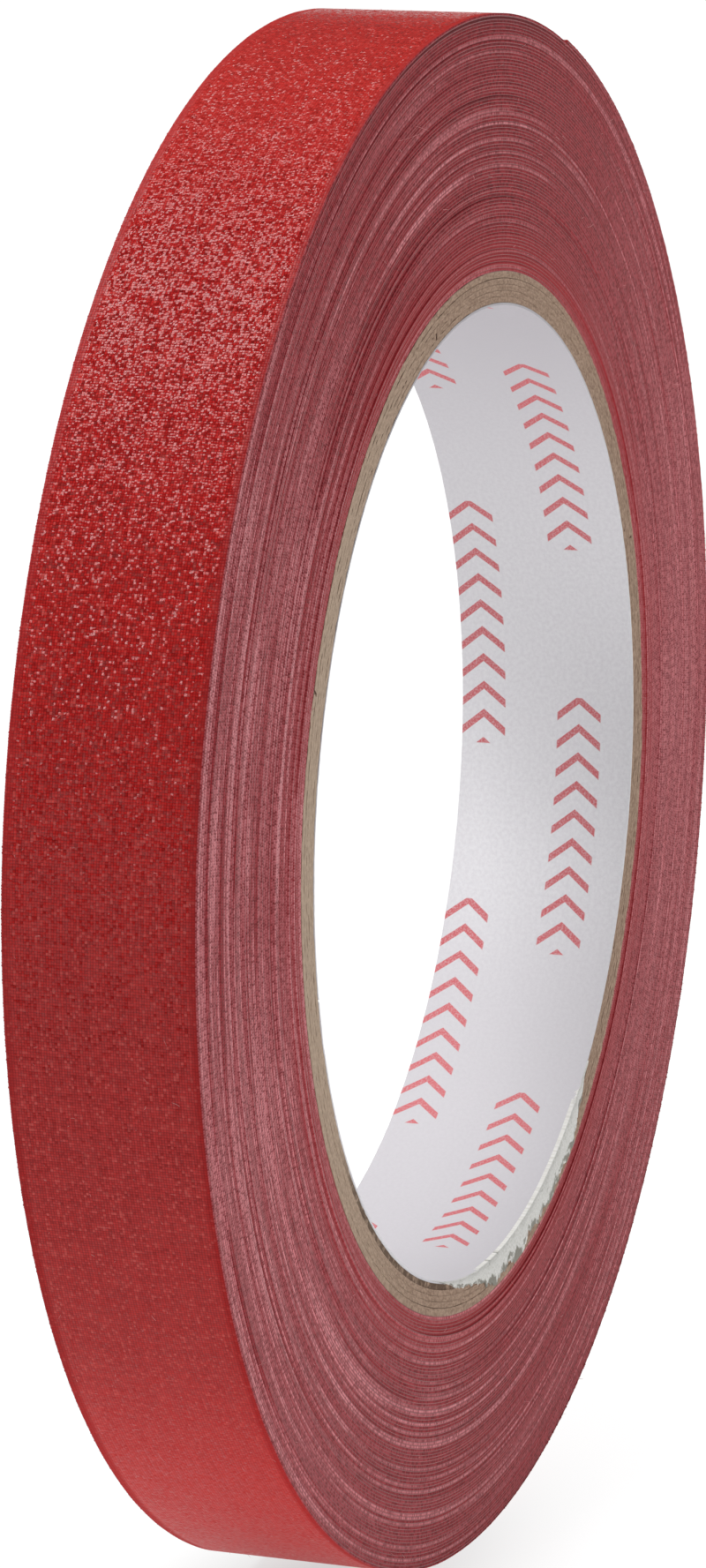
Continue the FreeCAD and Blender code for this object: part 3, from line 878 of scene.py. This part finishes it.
def rim_fibres():
    """Fibres that stand up from the cloth's outer side."""
    random = np.random.default_rng(52)
    paths, radii = [], []
    covered = (TURNS + END_START, TURNS + END_ANGLE / TURN)
    for _ in range(RIM_FIBRES):
        turn = random.uniform(OUTER_START, TURNS + END_START)
        if covered[0] < turn + 1 < covered[1]:
            continue
        angle = TURN * turn
        across = random.uniform(-0.48, 0.48) * TAPE_WIDTH
        start = polar(WOUND_RADIUS + PITCH * (turn + 1) - 0.005, across, angle)
        away = polar(1.0, 0.0, angle)
        flat = random.standard_normal(3)
        flat -= away * (flat @ away)
        direction = flat / np.linalg.norm(flat) * 0.8 + away * random.uniform(0.05, 0.35)
        paths.append(curled(start, direction, random.gamma(2.0, 0.16) + 0.1, 0.15, random))
        radii.append(random.uniform(0.008, 0.015))
    fibres("rim_fibres", paths, radii, "roll")


def cut_end_yarns():
    """The ends of the lengthways yarns, which stick out of the cut end."""
    random = np.random.default_rng(53)
    paths, radii = [], []
    turn = TURNS + END_ANGLE / TURN
    angle = TURN * turn
    middle = strip_shift(np.array(turn))
    lift = float(free_end_lift(np.array(turn)))
    radius = WOUND_RADIUS + PITCH * turn + lift + ADHESIVE + CLOTH_THICKNESS / 2
    yarns = int(TAPE_WIDTH / YARN_PITCH) - 1
    for number in range(yarns):
        across = middle + (number + 0.5 - yarns / 2) * YARN_PITCH
        start = polar(radius, across, angle - 0.0015)
        direction = polar(1.0, 0.0, angle + math.pi / 2)
        reach = 0.05 + random.gamma(1.5, 0.06)
        paths.append(curled(start, direction, reach + 0.09, 0.10, random))
        radii.append(random.uniform(0.05, 0.075))
    fibres("cut_end_yarns", paths, radii, PEEL_JOINTS[-1]["child"])


wound_tape()
free_end()
core()
torn_liner_edge()
edge_fibres()
rim_fibres()
cut_end_yarns()

# ---------------------------------------------------------------- floor, lights and camera

ROLL_BOTTOM = cad_box[0][2]
# The camera's distance and shift were fitted to the photo in units of this radius.
ROLL_RADIUS = 60.5 * MM
LAMP_HEIGHT = 1.0
FLOOR_RADIUS = 6.0
FLOOR_SIDES = 48
FLOOR_GLOW = 1.04
# How much less the floor glows right under the lamp and right under the roll, and where that second place is.
LAMP_DIMMING = 0.04
CONTACT_DIMMING = 0.42
CONTACT_X, CONTACT_LENGTH, CONTACT_WIDTH = -0.02, 0.03, 0.011
FOCAL_LENGTH = 144.97


def floor():
    """A plain white floor. It glows where the lamps don't reach, so that it is as white far off as nearby."""
    s = Surface("floor_white", Roughness=0.6, Specular_IOR_Level=0.2, Emission_Color=(1, 1, 1, 1))
    place = s.node("TexCoord").outputs["Object"]
    clouds = s.noise(place, 6.0, 3.0)
    x, y, _ = s.node("SeparateXYZ", [place]).outputs
    away = s.math("DIVIDE", s.math("ADD", s.math("MULTIPLY", x, x), s.math("MULTIPLY", y, y)), LAMP_HEIGHT**2)
    lamplight = s.math("POWER", s.math("ADD", away, 1.0), -2.0)
    glow = s.math("MULTIPLY_ADD", lamplight, -LAMP_DIMMING, FLOOR_GLOW)
    # Painted shadow: the floor glows less in a soft patch right under the roll.
    under_x = s.math("POWER", s.math("DIVIDE", s.math("SUBTRACT", x, CONTACT_X), CONTACT_LENGTH), 2.0)
    under_y = s.math("POWER", s.math("DIVIDE", y, CONTACT_WIDTH), 2.0)
    under = s.math("EXPONENT", s.math("MULTIPLY", s.math("ADD", under_x, under_y), -1.0))
    glow = s.math("MULTIPLY_ADD", under, -CONTACT_DIMMING, glow)
    s.tree.links.new(glow, s.shader.inputs["Emission Strength"])
    grey = s.mix(clouds, (0.06, 0.06, 0.06, 1), (0.07, 0.07, 0.07, 1))
    material = s.finish(grey, None, clouds, relief_height=0.02)
    mesh = bpy.data.meshes.new("floor")
    angles = [TURN * side / FLOOR_SIDES for side in range(FLOOR_SIDES)]
    edge = [(FLOOR_RADIUS * math.cos(a), FLOOR_RADIUS * math.sin(a), ROLL_BOTTOM) for a in angles]
    mesh.from_pydata(edge, [], [list(range(FLOOR_SIDES))])
    mesh.materials.append(material)
    piece = bpy.data.objects.new("floor", mesh)
    bpy.context.scene.collection.objects.link(piece)


def softbox(name, direction, distance, size, power):
    """A square area light that faces the middle of the roll."""
    lamp = bpy.data.lights.new(name, "AREA")
    lamp.shape = "SQUARE"
    lamp.size = size
    lamp.energy = power
    light = bpy.data.objects.new(name, lamp)
    place = Vector(direction).normalized() * distance
    light.location = place
    light.rotation_euler = (-place).to_track_quat("-Z", "Y").to_euler()
    bpy.context.scene.collection.objects.link(light)


def studio():
    """Soft light from above and in front, in a dim room that is pale just above the floor's far edge."""
    world = bpy.data.worlds.new("studio")
    world.use_nodes = True
    tree = world.node_tree
    background = tree.nodes["Background"]
    background.inputs["Color"].default_value = (1, 1, 1, 1)
    upwards = tree.nodes.new("ShaderNodeSeparateXYZ")
    tree.links.new(tree.nodes.new("ShaderNodeTexCoord").outputs["Generated"], upwards.inputs[0])
    glow = tree.nodes.new("ShaderNodeMapRange")
    glow.interpolation_type = "SMOOTHSTEP"
    horizon, above, glow_there, glow_above = 0.0, 0.16, 1.0, 0.05
    for place, value in enumerate((horizon, above, glow_there, glow_above), start=1):
        glow.inputs[place].default_value = value
    tree.links.new(upwards.outputs[2], glow.inputs[0])
    tree.links.new(glow.outputs[0], background.inputs["Strength"])
    bpy.context.scene.world = world
    softbox("overhead", (-0.12, 0.34, 0.92), LAMP_HEIGHT, size=0.55, power=12.3)
    softbox("front_fill", (0.1, -1.0, 0.1), distance=1.2, size=0.8, power=3.0)


def camera():
    """A long lens that looks a little down on the roll, from the front and well to the side."""
    azimuth, elevation = math.radians(-69.9155), math.radians(11.1633)
    right = Vector((math.cos(azimuth), math.sin(azimuth), 0))
    back = Vector((math.sin(azimuth) * math.cos(elevation), -math.cos(azimuth) * math.cos(elevation),
                   math.sin(elevation)))
    up = back.cross(right)
    distance, rightwards, upwards = (ROLL_RADIUS * share for share in (8.1663, -0.0534, 0.0047))
    lens = bpy.data.cameras.new("camera")
    lens.sensor_width = 36
    lens.sensor_fit = "VERTICAL"
    lens.sensor_height = 36
    lens.lens = FOCAL_LENGTH
    lens.clip_start = 0.01
    eye = bpy.data.objects.new("camera", lens)
    eye.location = back * distance + right * rightwards + up * upwards
    eye.rotation_euler = back.to_track_quat("Z", "Y").to_euler()
    bpy.context.scene.collection.objects.link(eye)
    bpy.context.scene.camera = eye


floor()
studio()
camera()
bpy.context.scene.view_settings.view_transform = "Standard"
